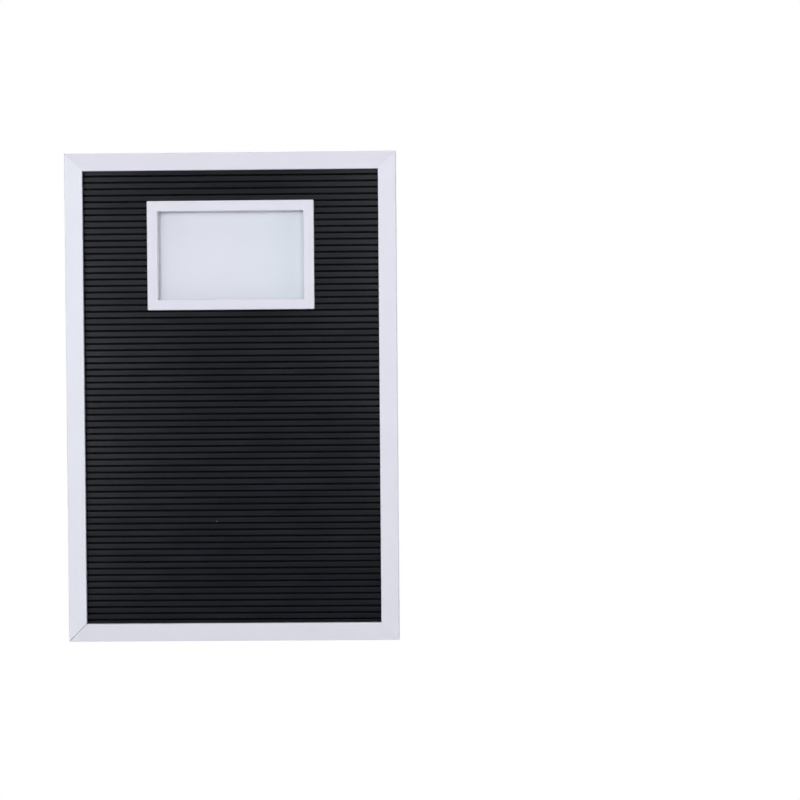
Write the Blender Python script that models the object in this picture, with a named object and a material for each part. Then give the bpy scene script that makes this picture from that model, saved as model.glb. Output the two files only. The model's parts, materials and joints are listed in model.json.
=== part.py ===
"""Changeable letter board with a photo window, hung on a wall.

Units are metres. +Z is up, the board faces -Y and +Y points into the wall.
The world origin is the hanging point: under the middle notch of the sawtooth
hanger, on the plane of the frame's rear face. Every piece is placed from the
middle of the board on that rear plane, so a depth is a negative Y.
"""

from math import cos, pi, radians, sin, sqrt

import bmesh
import bpy
from mathutils import Matrix, Vector

# Frame: four mitred rails of one moulding
BOARD_WIDTH = 0.305
BOARD_HEIGHT = 0.450
FRAME_DEPTH = 0.020
RAIL_FACE = 0.0165
REBATE_WIDTH = 0.0070
LIP_THICKNESS = 0.0042
OUTER_EDGE_RADIUS = 0.0012
INNER_EDGE_RADIUS = 0.0007
MITRE_GAP = 0.0003
OPEN_MITRE_GAP = 0.00045

# Clearances
SEAT_GAP = 0.0003
EDGE_PLAY = 0.0006

# Letter panel: black plastic with undercut grooves from edge to edge
PANEL_THICKNESS = 0.0050
GROOVE_PITCH = 0.005935
FIRST_GROOVE_DROP = 0.0044
GROOVE_MOUTH = 0.0017
GROOVE_LIP_DEPTH = 0.0011
GROOVE_FLARE_DEPTH = 0.0006
GROOVE_INNER_WIDTH = 0.0030
GROOVE_DEPTH = 0.0038
RIB_EDGE_RADIUS = 0.00025
EDGE_RIB_MIN = 0.0020

# Photo and what holds it: pane in front, card and cover behind
PHOTO_WIDTH = 0.152
PHOTO_HEIGHT = 0.102
PHOTO_PLAY = 0.0010
GLASS_THICKNESS = 0.0015
CARD_THICKNESS = 0.0004
COVER_THICKNESS = 0.0025
SHEET_CORNER_RADIUS = 0.0005
OPENING_CORNER_RADIUS = 0.0030
NOTCH_RADIUS = 0.0090

# Photo window: a one-piece moulded bezel that overlaps the photo's edges
PHOTO_SIDE_OVERLAP = 0.0087
PHOTO_END_OVERLAP = 0.0103
BEZEL_FACE = 0.0094
BEZEL_DROP = 0.0280
BEZEL_EDGE_RADIUS = 0.0007
BEZEL_CORNER_RADIUS = 0.0010
BEZEL_INNER_RADIUS = 0.0005
SKIRT_WALL = 0.0026
SKIRT_PLAY = 0.0005

# Turn buttons that hold the photo cover
BUTTON_THICKNESS = 0.0008
BUTTON_REACH = 0.0180
BUTTON_PIVOT_RADIUS = 0.0050
BUTTON_TIP_RADIUS = 0.0036
BUTTON_PIVOT_INSET = 0.0068
BUTTON_SPACING = 0.096
SCREW_RADIUS = 0.0014
SCREW_LENGTH = 0.0042
SCREW_HEAD_RADIUS = 0.0031
SCREW_HEAD_HEIGHT = 0.0018

# Flexible points that hold the panels in the rebate
POINT_THICKNESS = 0.0005
POINT_WIDTH = 0.0060
POINT_EXPOSED = 0.0085
POINT_BURIED = 0.0060
POINT_TAPER = 0.0022
TOP_POINT_SPACING = 0.190
SIDE_POINT_SPACING = 0.150
SIDE_POINT_COUNT = 3

# Steel v-nails that pull the mitres together from behind
V_NAIL_THICKNESS = 0.0005
V_NAIL_LEG = 0.0042
V_NAIL_HEIGHT = 0.0080
V_NAIL_INSET = 0.0036

# Sawtooth hanger on the rear of the top rail
HANGER_LENGTH = 0.046
HANGER_HEIGHT = 0.0085
HANGER_THICKNESS = 0.0008
HANGER_TAB = 0.0075
HANGER_RAMP = 0.0015
HANGER_STAND_OFF = 0.0016
HANGER_EDGE_INSET = 0.0005
TOOTH_PITCH = 0.0030
TOOTH_DEPTH = 0.0016
NAIL_RADIUS = 0.0007
NAIL_LENGTH = 0.0080
NAIL_HEAD_RADIUS = 0.0018
NAIL_HEAD_HEIGHT = 0.0006

# Facets
ARC_STEPS = 4
ROUND_STEPS = 16
CUT_MARGIN = 0.002

# Heights and depths that follow from the sizes above
FRONT = -FRAME_DEPTH
OPENING_HALF_WIDTH = BOARD_WIDTH / 2 - RAIL_FACE
OPENING_HALF_HEIGHT = BOARD_HEIGHT / 2 - RAIL_FACE
REAR_WALL = RAIL_FACE - REBATE_WIDTH
PANEL_WIDTH = BOARD_WIDTH - 2 * (REAR_WALL + EDGE_PLAY)
PANEL_HEIGHT = BOARD_HEIGHT - 2 * (REAR_WALL + EDGE_PLAY)
RIB_FRONT = FRONT + LIP_THICKNESS + SEAT_GAP
PANEL_REAR = RIB_FRONT + PANEL_THICKNESS
BACK_FRONT = PANEL_REAR + SEAT_GAP
GLASS_FRONT = BACK_FRONT
CARD_FRONT = GLASS_FRONT + GLASS_THICKNESS + SEAT_GAP
COVER_FRONT = CARD_FRONT + CARD_THICKNESS + SEAT_GAP
BACK_REAR = COVER_FRONT + COVER_THICKNESS
BACK_THICKNESS = BACK_REAR - BACK_FRONT
WINDOW_WIDTH = PHOTO_WIDTH - 2 * PHOTO_SIDE_OVERLAP
WINDOW_HEIGHT = PHOTO_HEIGHT - 2 * PHOTO_END_OVERLAP
BEZEL_WIDTH = WINDOW_WIDTH + 2 * BEZEL_FACE
BEZEL_HEIGHT = WINDOW_HEIGHT + 2 * BEZEL_FACE
WINDOW_Z = OPENING_HALF_HEIGHT - BEZEL_DROP - BEZEL_HEIGHT / 2
FLANGE_REAR = RIB_FRONT - SEAT_GAP
BACK_OPENING_WIDTH = PHOTO_WIDTH + 2 * PHOTO_PLAY
BACK_OPENING_HEIGHT = PHOTO_HEIGHT + 2 * PHOTO_PLAY
HANGER_TOP = BOARD_HEIGHT / 2 - HANGER_EDGE_INSET
HANGER_NAIL_X = HANGER_LENGTH / 2 - HANGER_TAB / 2
HANGER_NAIL_Z = BOARD_HEIGHT / 2 - REAR_WALL / 2
HANG_Z = HANGER_TOP - HANGER_HEIGHT + TOOTH_DEPTH
BUTTON_FRONT = BACK_REAR + SEAT_GAP
BUTTON_REAR = BUTTON_FRONT + BUTTON_THICKNESS
SCREW_HEAD_FRONT = BUTTON_REAR + SEAT_GAP
POINT_FRONT = BACK_REAR + SEAT_GAP
POINT_REAR = POINT_FRONT + POINT_THICKNESS
NAIL_HEAD_FRONT = SEAT_GAP + HANGER_THICKNESS + SEAT_GAP

# Side names with the turn about Y that takes a rail's inward direction there
RAIL_SIDES = {"bottom": 0.0, "right": -pi / 2, "top": pi, "left": pi / 2}


def clear_scene():
    """Remove whatever the file already holds."""
    for old in list(bpy.data.objects):
        bpy.data.objects.remove(old, do_unlink=True)


def srgb(hex_colour):
    """Turn a six-digit sRGB colour into linear values."""
    channels = [int(hex_colour[i:i + 2], 16) / 255 for i in (0, 2, 4)]
    return [c / 12.92 if c <= 0.04045 else ((c + 0.055) / 1.055) ** 2.4 for c in channels]


def finish(name, hex_colour, roughness, metallic=0.0, transmission=0.0):
    """One surface finish, made once and shared by the pieces that have it."""
    material = bpy.data.materials.get(name) or bpy.data.materials.new(name)
    material.use_nodes = True
    shader = material.node_tree.nodes["Principled BSDF"]
    colour = (*srgb(hex_colour), 1.0)
    shader.inputs["Base Color"].default_value = colour
    shader.inputs["Roughness"].default_value = roughness
    shader.inputs["Metallic"].default_value = metallic
    shader.inputs["Transmission Weight"].default_value = transmission
    material.diffuse_color = colour
    return material


def white_foil():
    """White foil over the wood-fibre moulding."""
    return finish("white_foil", "E4E3EC", 0.45)


def black_plastic():
    """Extruded black plastic."""
    return finish("black_plastic", "26292C", 0.5)


def white_plastic():
    """White moulded polystyrene."""
    return finish("white_plastic", "E6E5EC", 0.35)


def clear_glass():
    """Thin picture glass."""
    return finish("clear_glass", "EEF6F4", 0.05, transmission=1.0)


def pale_card():
    """Blank pale card in the place of a photo."""
    return finish("pale_card", "E6EBEE", 0.7)


def brown_hardboard():
    """Bare wood-fibre board."""
    return finish("brown_hardboard", "8A6748", 0.8)


def zinc_steel():
    """Zinc-plated steel."""
    return finish("zinc_steel", "B9BCBF", 0.35, metallic=1.0)


def add_object(name, bm, material, board, smooth_angle=None):
    """Turn a bmesh into a named object that hangs on the board's centre."""
    bmesh.ops.recalc_face_normals(bm, faces=bm.faces)
    mesh = bpy.data.meshes.new(name)
    bm.to_mesh(mesh)
    bm.free()
    if smooth_angle is not None:
        mesh.shade_smooth()
        mesh.set_sharp_from_angle(angle=smooth_angle)
    mesh.materials.append(material)
    return place_mesh(name, mesh, board)


def place_mesh(name, mesh, board):
    """Link a mesh into the scene as an object under the board's centre."""
    piece = bpy.data.objects.new(name, mesh)
    bpy.context.collection.objects.link(piece)
    piece.parent = board
    return piece


def add_cutter(name, bm, board):
    """A hidden wire object whose shape is taken away from other pieces."""
    bmesh.ops.recalc_face_normals(bm, faces=bm.faces)
    mesh = bpy.data.meshes.new(name)
    bm.to_mesh(mesh)
    bm.free()
    cutter = place_mesh(name, mesh, board)
    cutter.hide_render = True
    cutter.display_type = "WIRE"
    return cutter


def cut(piece, cutter):
    """Take a cutter's shape away from a piece."""
    boolean = piece.modifiers.new("cut_" + cutter.name, "BOOLEAN")
    boolean.operation = "DIFFERENCE"
    boolean.object = cutter
    boolean.solver = "EXACT"


def add_box(bm, low, high):
    """Add an axis-aligned box between two corners."""
    low = Vector(low)
    high = Vector(high)
    size = high - low
    place = Matrix.Translation((low + high) / 2) @ Matrix.Diagonal((*size, 1.0))
    return bmesh.ops.create_cube(bm, size=1.0, matrix=place)["verts"]


def arc(centre, radius, start_deg, end_deg, steps=ARC_STEPS):
    """Points along an arc in a plane, both ends included."""
    turn = (end_deg - start_deg) / steps
    angles = [radians(start_deg + turn * i) for i in range(steps + 1)]
    return [(centre[0] + radius * cos(a), centre[1] + radius * sin(a)) for a in angles]


def rounded_rectangle(half_width, half_height, radius, steps=ARC_STEPS):
    """Outline of a rectangle with rounded corners, counter-clockwise."""
    x = half_width - radius
    z = half_height - radius
    corners = (((x, z), 0), ((-x, z), 90), ((-x, -z), 180), ((x, -z), 270))
    points = []
    for centre, start in corners:
        points += arc(centre, radius, start, start + 90, steps)
    return points


def extrude_outline(bm, outline, front, rear):
    """Fill an outline in the XZ plane and extrude it through the depth."""
    verts = [bm.verts.new((x, front, z)) for x, z in outline]
    face = bm.faces.new(verts)
    grown = bmesh.ops.extrude_face_region(bm, geom=[face])["geom"]
    moved = [g for g in grown if isinstance(g, bmesh.types.BMVert)]
    bmesh.ops.translate(bm, vec=(0.0, rear - front, 0.0), verts=moved)
    return verts + moved


def turn_profile(bm, profile):
    """Turn a profile of (radius, depth) points about the Y axis."""
    verts = [bm.verts.new((radius, y, 0.0)) for radius, y in profile]
    edges = [bm.edges.new(pair) for pair in zip(verts, verts[1:])]
    bmesh.ops.spin(
        bm,
        geom=verts + edges,
        cent=(0.0, 0.0, 0.0),
        axis=(0.0, 1.0, 0.0),
        dvec=(0.0, 0.0, 0.0),
        angle=2 * pi,
        steps=ROUND_STEPS,
        use_merge=True,
    )
    bmesh.ops.remove_doubles(bm, verts=bm.verts, dist=0.00001)


def drill(name, radius, tip, head_rear, place, pieces, board):
    """Drill a fastener's clearance hole through the pieces that it holds."""
    bottom = tip - SEAT_GAP
    bore = [(0.0, bottom), (radius, bottom), (radius, head_rear), (0.0, head_rear)]
    bm = bmesh.new()
    turn_profile(bm, bore)
    hole = add_cutter(name, bm, board)
    hole.location = place
    for piece in pieces:
        cut(piece, hole)


def rail_profile():
    """Section of the moulding as (distance inward, depth) points."""
    outer = arc((OUTER_EDGE_RADIUS, FRONT + OUTER_EDGE_RADIUS), OUTER_EDGE_RADIUS, 180, 270)
    inner_centre = (RAIL_FACE - INNER_EDGE_RADIUS, FRONT + INNER_EDGE_RADIUS)
    inner = arc(inner_centre, INNER_EDGE_RADIUS, 270, 360)
    rebate = [(RAIL_FACE, FRONT + LIP_THICKNESS), (REAR_WALL, FRONT + LIP_THICKNESS)]
    return [(0.0, 0.0), *outer, *inner, *rebate, (REAR_WALL, 0.0)]


def mitre_gap(side, end):
    """Gap at a rail's mitre: the lower left corner has opened a little."""
    if (side, end) in (("bottom", -1), ("left", 1)):
        return OPEN_MITRE_GAP
    return MITRE_GAP


def add_rail(side, board):
    """One mitred rail, along its own X, with its inward side at +Z."""
    across = side in ("top", "bottom")
    length = BOARD_WIDTH if across else BOARD_HEIGHT
    reach = BOARD_HEIGHT / 2 if across else BOARD_WIDTH / 2
    bm = bmesh.new()
    ends = []
    for end in (-1, 1):
        back_off = mitre_gap(side, end) / 2 * sqrt(2)
        ends.append([
            bm.verts.new((end * (length / 2 - inward - back_off), depth, inward))
            for inward, depth in rail_profile()
        ])
    bm.faces.new(ends[0])
    bm.faces.new(ends[1])
    bmesh.ops.bridge_loops(bm, edges=[e for e in bm.edges])
    rail = add_object("frame_rail_" + side, bm, white_foil(), board, radians(35))
    turn = Matrix.Rotation(RAIL_SIDES[side], 4, "Y")
    rail.matrix_local = turn @ Matrix.Translation((0.0, 0.0, -reach))
    return rail


def corner_signs():
    """Sign of X and Z at each corner, with the corner's name."""
    for z_name, z_sign in (("upper", 1), ("lower", -1)):
        for x_name, x_sign in (("left", -1), ("right", 1)):
            yield z_name + "_" + x_name, x_sign, z_sign


def v_nail_outline(growth=0.0):
    """Plan of a v-nail, its legs along the two rails, as (x, z) from its apex."""
    low = -growth
    wall = V_NAIL_THICKNESS + growth
    leg = V_NAIL_LEG + growth
    return [(low, low), (leg, low), (leg, wall), (wall, wall), (wall, leg), (low, leg)]


def add_v_nails(rails, board):
    """A v-nail across each mitre, pressed in flush with the rear face."""
    for corner, x_sign, z_sign in corner_signs():
        place = Vector((
            x_sign * (BOARD_WIDTH / 2 - V_NAIL_INSET),
            0.0,
            z_sign * (BOARD_HEIGHT / 2 - V_NAIL_INSET),
        ))
        outlines = []
        for growth in (0.0, SEAT_GAP):
            outlines.append([(-x_sign * x, -z_sign * z) for x, z in v_nail_outline(growth)])
        bm = bmesh.new()
        extrude_outline(bm, outlines[0], -V_NAIL_HEIGHT, 0.0)
        nail = add_object("v_nail_" + corner, bm, zinc_steel(), board)
        nail.location = place
        bm = bmesh.new()
        extrude_outline(bm, outlines[1], -V_NAIL_HEIGHT - SEAT_GAP, CUT_MARGIN)
        slot = add_cutter("v_nail_slot_" + corner, bm, board)
        slot.location = place
        cut(rails["top" if z_sign > 0 else "bottom"], slot)
        cut(rails["right" if x_sign > 0 else "left"], slot)


def point_places():
    """Side, number and place along its rail of each flexible point."""
    for side in ("top", "bottom"):
        for number, along in enumerate((-TOP_POINT_SPACING / 2, TOP_POINT_SPACING / 2)):
            yield side, number + 1, along
    for side in ("left", "right"):
        for number in range(SIDE_POINT_COUNT):
            along = (number - (SIDE_POINT_COUNT - 1) / 2) * SIDE_POINT_SPACING
            yield side, number + 1, along


def point_outline():
    """Plan of a flexible point: a spear driven in at -Z and a rounded tongue."""
    half = POINT_WIDTH / 2
    tip = -POINT_BURIED
    tongue = arc((0.0, POINT_EXPOSED - half), half, 0, 180, 2 * ARC_STEPS)
    shoulder = tip + POINT_TAPER
    return [*tongue, (-half, shoulder), (-half / 2, tip), (half / 2, tip), (half, shoulder)]


def point_seat(side, along):
    """Where a flexible point enters the rebate wall, with its turn."""
    reach = (BOARD_HEIGHT if side in ("top", "bottom") else BOARD_WIDTH) / 2
    turn = Matrix.Rotation(RAIL_SIDES[side], 4, "Y")
    return turn @ Matrix.Translation((along, 0.0, -reach + REAR_WALL))


def add_points(board):
    """Thin steel points driven into the rebate wall behind the back panel."""
    shared = None
    for side, number, along in point_places():
        name = "flexible_point_" + side + "_" + str(number)
        if shared is None:
            bm = bmesh.new()
            extrude_outline(bm, point_outline(), POINT_FRONT, POINT_REAR)
            point = add_object(name, bm, zinc_steel(), board)
            shared = point.data
        else:
            point = place_mesh(name, shared, board)
        point.matrix_local = point_seat(side, along)


def cut_point_slots(rails, board):
    """The slots that the flexible points make in the rebate walls."""
    wide = POINT_WIDTH / 2 + SEAT_GAP
    low = (-wide, POINT_FRONT - SEAT_GAP, -POINT_BURIED - SEAT_GAP)
    high = (wide, POINT_REAR + SEAT_GAP, CUT_MARGIN)
    for rail_side, rail in rails.items():
        bm = bmesh.new()
        for side, _, along in point_places():
            if side == rail_side:
                verts = add_box(bm, low, high)
                bmesh.ops.transform(bm, matrix=point_seat(side, along), verts=verts)
        cut(rail, add_cutter("point_slots_" + rail_side, bm, board))


def groove_heights():
    """Height of each groove's middle, from the top of the panel down."""
    limit = PANEL_HEIGHT / 2 - GROOVE_MOUTH / 2 - EDGE_RIB_MIN
    first = OPENING_HALF_HEIGHT - FIRST_GROOVE_DROP
    while first + GROOVE_PITCH <= limit:
        first += GROOVE_PITCH
    heights = []
    height = first
    while height >= -limit:
        heights.append(height)
        height -= GROOVE_PITCH
    return heights


def groove_profile(height):
    """Half-rounded lips, a straight mouth and a wider hollow behind it."""
    mouth = GROOVE_MOUTH / 2
    inner = GROOVE_INNER_WIDTH / 2
    edge_centre = (mouth + RIB_EDGE_RADIUS, RIB_FRONT + RIB_EDGE_RADIUS)
    edge = arc(edge_centre, RIB_EDGE_RADIUS, 270, 180, 2)
    flare = RIB_FRONT + GROOVE_LIP_DEPTH
    floor = RIB_FRONT + GROOVE_DEPTH
    upper = [*edge, (mouth, flare), (inner, flare + GROOVE_FLARE_DEPTH), (inner, floor)]
    lower = [(-z, y) for z, y in reversed(upper)]
    return [(height + z, y) for z, y in upper + lower]


def clear_of_lips(edge, outward):
    """Height of a cut-out's edge, moved out to a groove's middle where it would leave a thin lip."""
    for height in groove_heights():
        past_middle = (height - edge) * outward
        if GROOVE_MOUTH / 2 < past_middle < GROOVE_INNER_WIDTH / 2:
            return height
    return edge


def add_letter_panel(board):
    """The grooved panel, with a cut-out for the skirt of the bezel."""
    half_width = PANEL_WIDTH / 2
    half_height = PANEL_HEIGHT / 2
    section = [(-half_height, PANEL_REAR), (half_height, PANEL_REAR), (half_height, RIB_FRONT)]
    for height in groove_heights():
        section += groove_profile(height)
    section.append((-half_height, RIB_FRONT))
    bm = bmesh.new()
    verts = [bm.verts.new((-half_width, y, z)) for z, y in section]
    face = bm.faces.new(verts)
    grown = bmesh.ops.extrude_face_region(bm, geom=[face])["geom"]
    moved = [g for g in grown if isinstance(g, bmesh.types.BMVert)]
    bmesh.ops.translate(bm, vec=(PANEL_WIDTH, 0.0, 0.0), verts=moved)
    panel = add_object("letter_panel", bm, black_plastic(), board)
    bm = bmesh.new()
    half_x = WINDOW_WIDTH / 2 + SKIRT_WALL + SKIRT_PLAY
    half_z = WINDOW_HEIGHT / 2 + SKIRT_WALL + SKIRT_PLAY
    low = (-half_x, RIB_FRONT - CUT_MARGIN, clear_of_lips(WINDOW_Z - half_z, -1))
    high = (half_x, PANEL_REAR + CUT_MARGIN, clear_of_lips(WINDOW_Z + half_z, 1))
    add_box(bm, low, high)
    cut(panel, add_cutter("bezel_cut_out", bm, board))
    return panel


def bezel_rings():
    """Rings of the bezel as (outward growth, depth, corner radius)."""
    edge = BEZEL_EDGE_RADIUS
    inner = BEZEL_INNER_RADIUS
    rings = []
    for out, depth in arc((BEZEL_FACE - edge, FRONT + edge), edge, 0, -90):
        rings.append((out, depth, BEZEL_CORNER_RADIUS + out - BEZEL_FACE))
    for out, depth in arc((inner, FRONT + inner), inner, 270, 180):
        rings.append((out, depth, inner))
    rings.append((0.0, PANEL_REAR, inner))
    rings.append((SKIRT_WALL, PANEL_REAR, inner))
    rings.append((SKIRT_WALL, FLANGE_REAR, inner))
    rings.append((BEZEL_FACE, FLANGE_REAR, BEZEL_CORNER_RADIUS))
    return rings


def add_bezel(board):
    """One-piece moulding: a flange on the ribs and a skirt through the panel."""
    bm = bmesh.new()
    loops = []
    for out, depth, radius in bezel_rings():
        outline = rounded_rectangle(WINDOW_WIDTH / 2 + out, WINDOW_HEIGHT / 2 + out, radius)
        loops.append([bm.verts.new((x, depth, z)) for x, z in outline])
    for ring, following in zip(loops, loops[1:] + loops[:1]):
        for i, vert in enumerate(ring):
            j = (i + 1) % len(ring)
            bm.faces.new((vert, ring[j], following[j], following[i]))
    bezel = add_object("photo_bezel", bm, white_plastic(), board, radians(35))
    bezel.location = (0.0, 0.0, WINDOW_Z)
    return bezel


def add_sheet(name, thickness, front, material, board):
    """A plain cut sheet of the photo's size, laid in behind the window."""
    bm = bmesh.new()
    outline = rounded_rectangle(PHOTO_WIDTH / 2, PHOTO_HEIGHT / 2, SHEET_CORNER_RADIUS)
    extrude_outline(bm, outline, front, front + thickness)
    sheet = add_object(name, bm, material, board)
    sheet.location = (0.0, 0.0, WINDOW_Z)
    return sheet


def add_cover(board):
    """Hardboard cover over the photo, with a half-round notch to lift it."""
    radius = OPENING_CORNER_RADIUS
    half_x = PHOTO_WIDTH / 2
    half_z = PHOTO_HEIGHT / 2
    x = half_x - radius
    z = half_z - radius
    outline = arc((x, z), radius, 0, 90) + arc((-x, z), radius, 90, 180)
    outline += arc((-x, -z), radius, 180, 270)
    outline += arc((0.0, -half_z), NOTCH_RADIUS, 180, 0, 4 * ARC_STEPS)
    outline += arc((x, -z), radius, 270, 360)
    bm = bmesh.new()
    extrude_outline(bm, outline, COVER_FRONT, BACK_REAR)
    cover = add_object("photo_cover", bm, brown_hardboard(), board)
    cover.location = (0.0, 0.0, WINDOW_Z)
    return cover


def add_back_panel(board):
    """Wood-fibre panel that fills the rebate, open behind the window."""
    half_x = PANEL_WIDTH / 2
    half_z = PANEL_HEIGHT / 2
    bm = bmesh.new()
    add_box(bm, (-half_x, BACK_FRONT, -half_z), (half_x, BACK_REAR, half_z))
    panel = add_object("back_panel", bm, brown_hardboard(), board)
    bm = bmesh.new()
    opening = rounded_rectangle(
        BACK_OPENING_WIDTH / 2,
        BACK_OPENING_HEIGHT / 2,
        OPENING_CORNER_RADIUS,
    )
    extrude_outline(bm, opening, BACK_FRONT - CUT_MARGIN, BACK_REAR + CUT_MARGIN)
    cutter = add_cutter("photo_opening", bm, board)
    cutter.location = (0.0, 0.0, WINDOW_Z)
    cut(panel, cutter)
    return panel


def button_outline():
    """Plan of a turn button: round about its pivot, tapering to a round tip."""
    spread = BUTTON_REACH - BUTTON_TIP_RADIUS
    tilt = (BUTTON_PIVOT_RADIUS - BUTTON_TIP_RADIUS) / spread
    lean = 180 / pi * tilt
    pivot_end = arc((0.0, 0.0), BUTTON_PIVOT_RADIUS, -lean, 180 + lean, 4 * ARC_STEPS)
    tip_end = arc((0.0, -spread), BUTTON_TIP_RADIUS, 180 + lean, 360 - lean, 3 * ARC_STEPS)
    return pivot_end + tip_end


def button_pivots():
    """Corner name, pivot and turn of each button, which points at the cover."""
    for corner, x_sign, z_sign in corner_signs():
        above = WINDOW_Z + z_sign * (BACK_OPENING_HEIGHT / 2 + BUTTON_PIVOT_INSET)
        pivot = Vector((x_sign * BUTTON_SPACING / 2, 0.0, above))
        yield corner, pivot, 0.0 if z_sign > 0 else pi


def screw_profile():
    """A pan-head screw as (radius, depth) points, from its tip to its crown."""
    tip = SCREW_HEAD_FRONT - SCREW_LENGTH
    crown = SCREW_HEAD_FRONT + SCREW_HEAD_HEIGHT
    dome = SCREW_HEAD_HEIGHT / 2
    return [
        (0.0, tip),
        (SCREW_RADIUS / 3, tip),
        (SCREW_RADIUS, tip + SCREW_RADIUS),
        (SCREW_RADIUS, SCREW_HEAD_FRONT),
        (SCREW_HEAD_RADIUS, SCREW_HEAD_FRONT),
        (SCREW_HEAD_RADIUS, crown - dome),
        (SCREW_HEAD_RADIUS - dome / 2, crown - dome / 4),
        (SCREW_HEAD_RADIUS / 2, crown),
        (0.0, crown),
    ]


def add_button_screw(corner, pivot, board):
    """The pan-head screw that a turn button swings on."""
    bm = bmesh.new()
    turn_profile(bm, screw_profile())
    screw = add_object("button_screw_" + corner, bm, zinc_steel(), board, radians(40))
    screw.location = pivot


def add_turn_buttons(back_panel, board):
    """Four pivoting steel buttons, each on a pan-head screw in the back panel."""
    for corner, pivot, turn in button_pivots():
        bm = bmesh.new()
        extrude_outline(bm, button_outline(), BUTTON_FRONT, BUTTON_REAR)
        button = add_object("turn_button_" + corner, bm, zinc_steel(), board)
        button.location = pivot
        button.rotation_euler = (0.0, turn, 0.0)
        add_button_screw(corner, pivot, board)
        drill(
            "button_hole_" + corner,
            SCREW_RADIUS + SEAT_GAP,
            SCREW_HEAD_FRONT - SCREW_LENGTH,
            SCREW_HEAD_FRONT + SCREW_HEAD_HEIGHT,
            pivot,
            (button, back_panel),
            board,
        )


def hanger_columns():
    """Columns of the hanger as (x, lower edge, stand-off), left to right."""
    top = HANGER_TOP
    half = HANGER_LENGTH / 2
    raised = half - HANGER_TAB - HANGER_RAMP
    tip = top - HANGER_HEIGHT
    notch = tip + TOOTH_DEPTH
    teeth = int(raised / TOOTH_PITCH)
    columns = [(-half, notch, 0.0), (-half + HANGER_TAB, notch, 0.0), (-raised, notch, 1.0)]
    for i in range(-2 * teeth, 2 * teeth + 1):
        lower = tip if i % 2 else notch
        columns.append((i * TOOTH_PITCH / 2, lower, 1.0))
    columns += [(-x, lower, lift) for x, lower, lift in reversed(columns[:3])]
    return columns


def add_hanger(board):
    """Pressed steel strip, its toothed middle held off the rail for the nail."""
    bm = bmesh.new()
    rings = []
    for x, lower, lift in hanger_columns():
        front = SEAT_GAP + lift * HANGER_STAND_OFF
        rear = front + HANGER_THICKNESS
        corners = ((front, HANGER_TOP), (rear, HANGER_TOP), (rear, lower), (front, lower))
        rings.append([bm.verts.new((x, y, z)) for y, z in corners])
    for ring, following in zip(rings, rings[1:]):
        for i in range(4):
            j = (i + 1) % 4
            bm.faces.new((ring[i], ring[j], following[j], following[i]))
    bm.faces.new(rings[0])
    bm.faces.new(rings[-1])
    return add_object("sawtooth_hanger", bm, zinc_steel(), board)


def add_hanger_nails(hanger, top_rail, board):
    """Two flat-headed nails that hold the hanger to the top rail."""
    tip = NAIL_HEAD_FRONT - NAIL_LENGTH
    head_rear = NAIL_HEAD_FRONT + NAIL_HEAD_HEIGHT
    profile = [
        (0.0, tip),
        (NAIL_RADIUS, tip + 2 * NAIL_RADIUS),
        (NAIL_RADIUS, NAIL_HEAD_FRONT),
        (NAIL_HEAD_RADIUS, NAIL_HEAD_FRONT),
        (NAIL_HEAD_RADIUS, head_rear),
        (0.0, head_rear),
    ]
    for name, side in (("left", -1), ("right", 1)):
        place = (side * HANGER_NAIL_X, 0.0, HANGER_NAIL_Z)
        bm = bmesh.new()
        turn_profile(bm, profile)
        nail = add_object("hanger_nail_" + name, bm, zinc_steel(), board, radians(40))
        nail.location = place
        drill(
            "hanger_hole_" + name,
            NAIL_RADIUS + SEAT_GAP,
            tip,
            head_rear,
            place,
            (hanger, top_rail),
            board,
        )


def add_board_centre():
    """Empty at the middle of the board's rear plane, below the hanging point."""
    board = bpy.data.objects.new("board_centre", None)
    bpy.context.collection.objects.link(board)
    board.location = (0.0, 0.0, -HANG_Z)
    return board


def build():
    """Put the whole board together."""
    clear_scene()
    board = add_board_centre()
    rails = {side: add_rail(side, board) for side in RAIL_SIDES}
    add_v_nails(rails, board)
    add_points(board)
    cut_point_slots(rails, board)
    add_letter_panel(board)
    add_bezel(board)
    add_sheet("photo_glass", GLASS_THICKNESS, GLASS_FRONT, clear_glass(), board)
    add_sheet("photo_card", CARD_THICKNESS, CARD_FRONT, pale_card(), board)
    add_cover(board)
    back_panel = add_back_panel(board)
    add_turn_buttons(back_panel, board)
    add_hanger_nails(add_hanger(board), rails["top"], board)
    bpy.context.view_layer.update()


build()
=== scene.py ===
"""The dressed letter board: a white foil-wrapped frame, a grooved panel, a window and hardware."""

import json
from math import cos, pi, radians, sin

import bmesh
import bpy
from mathutils import Matrix, Vector


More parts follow.
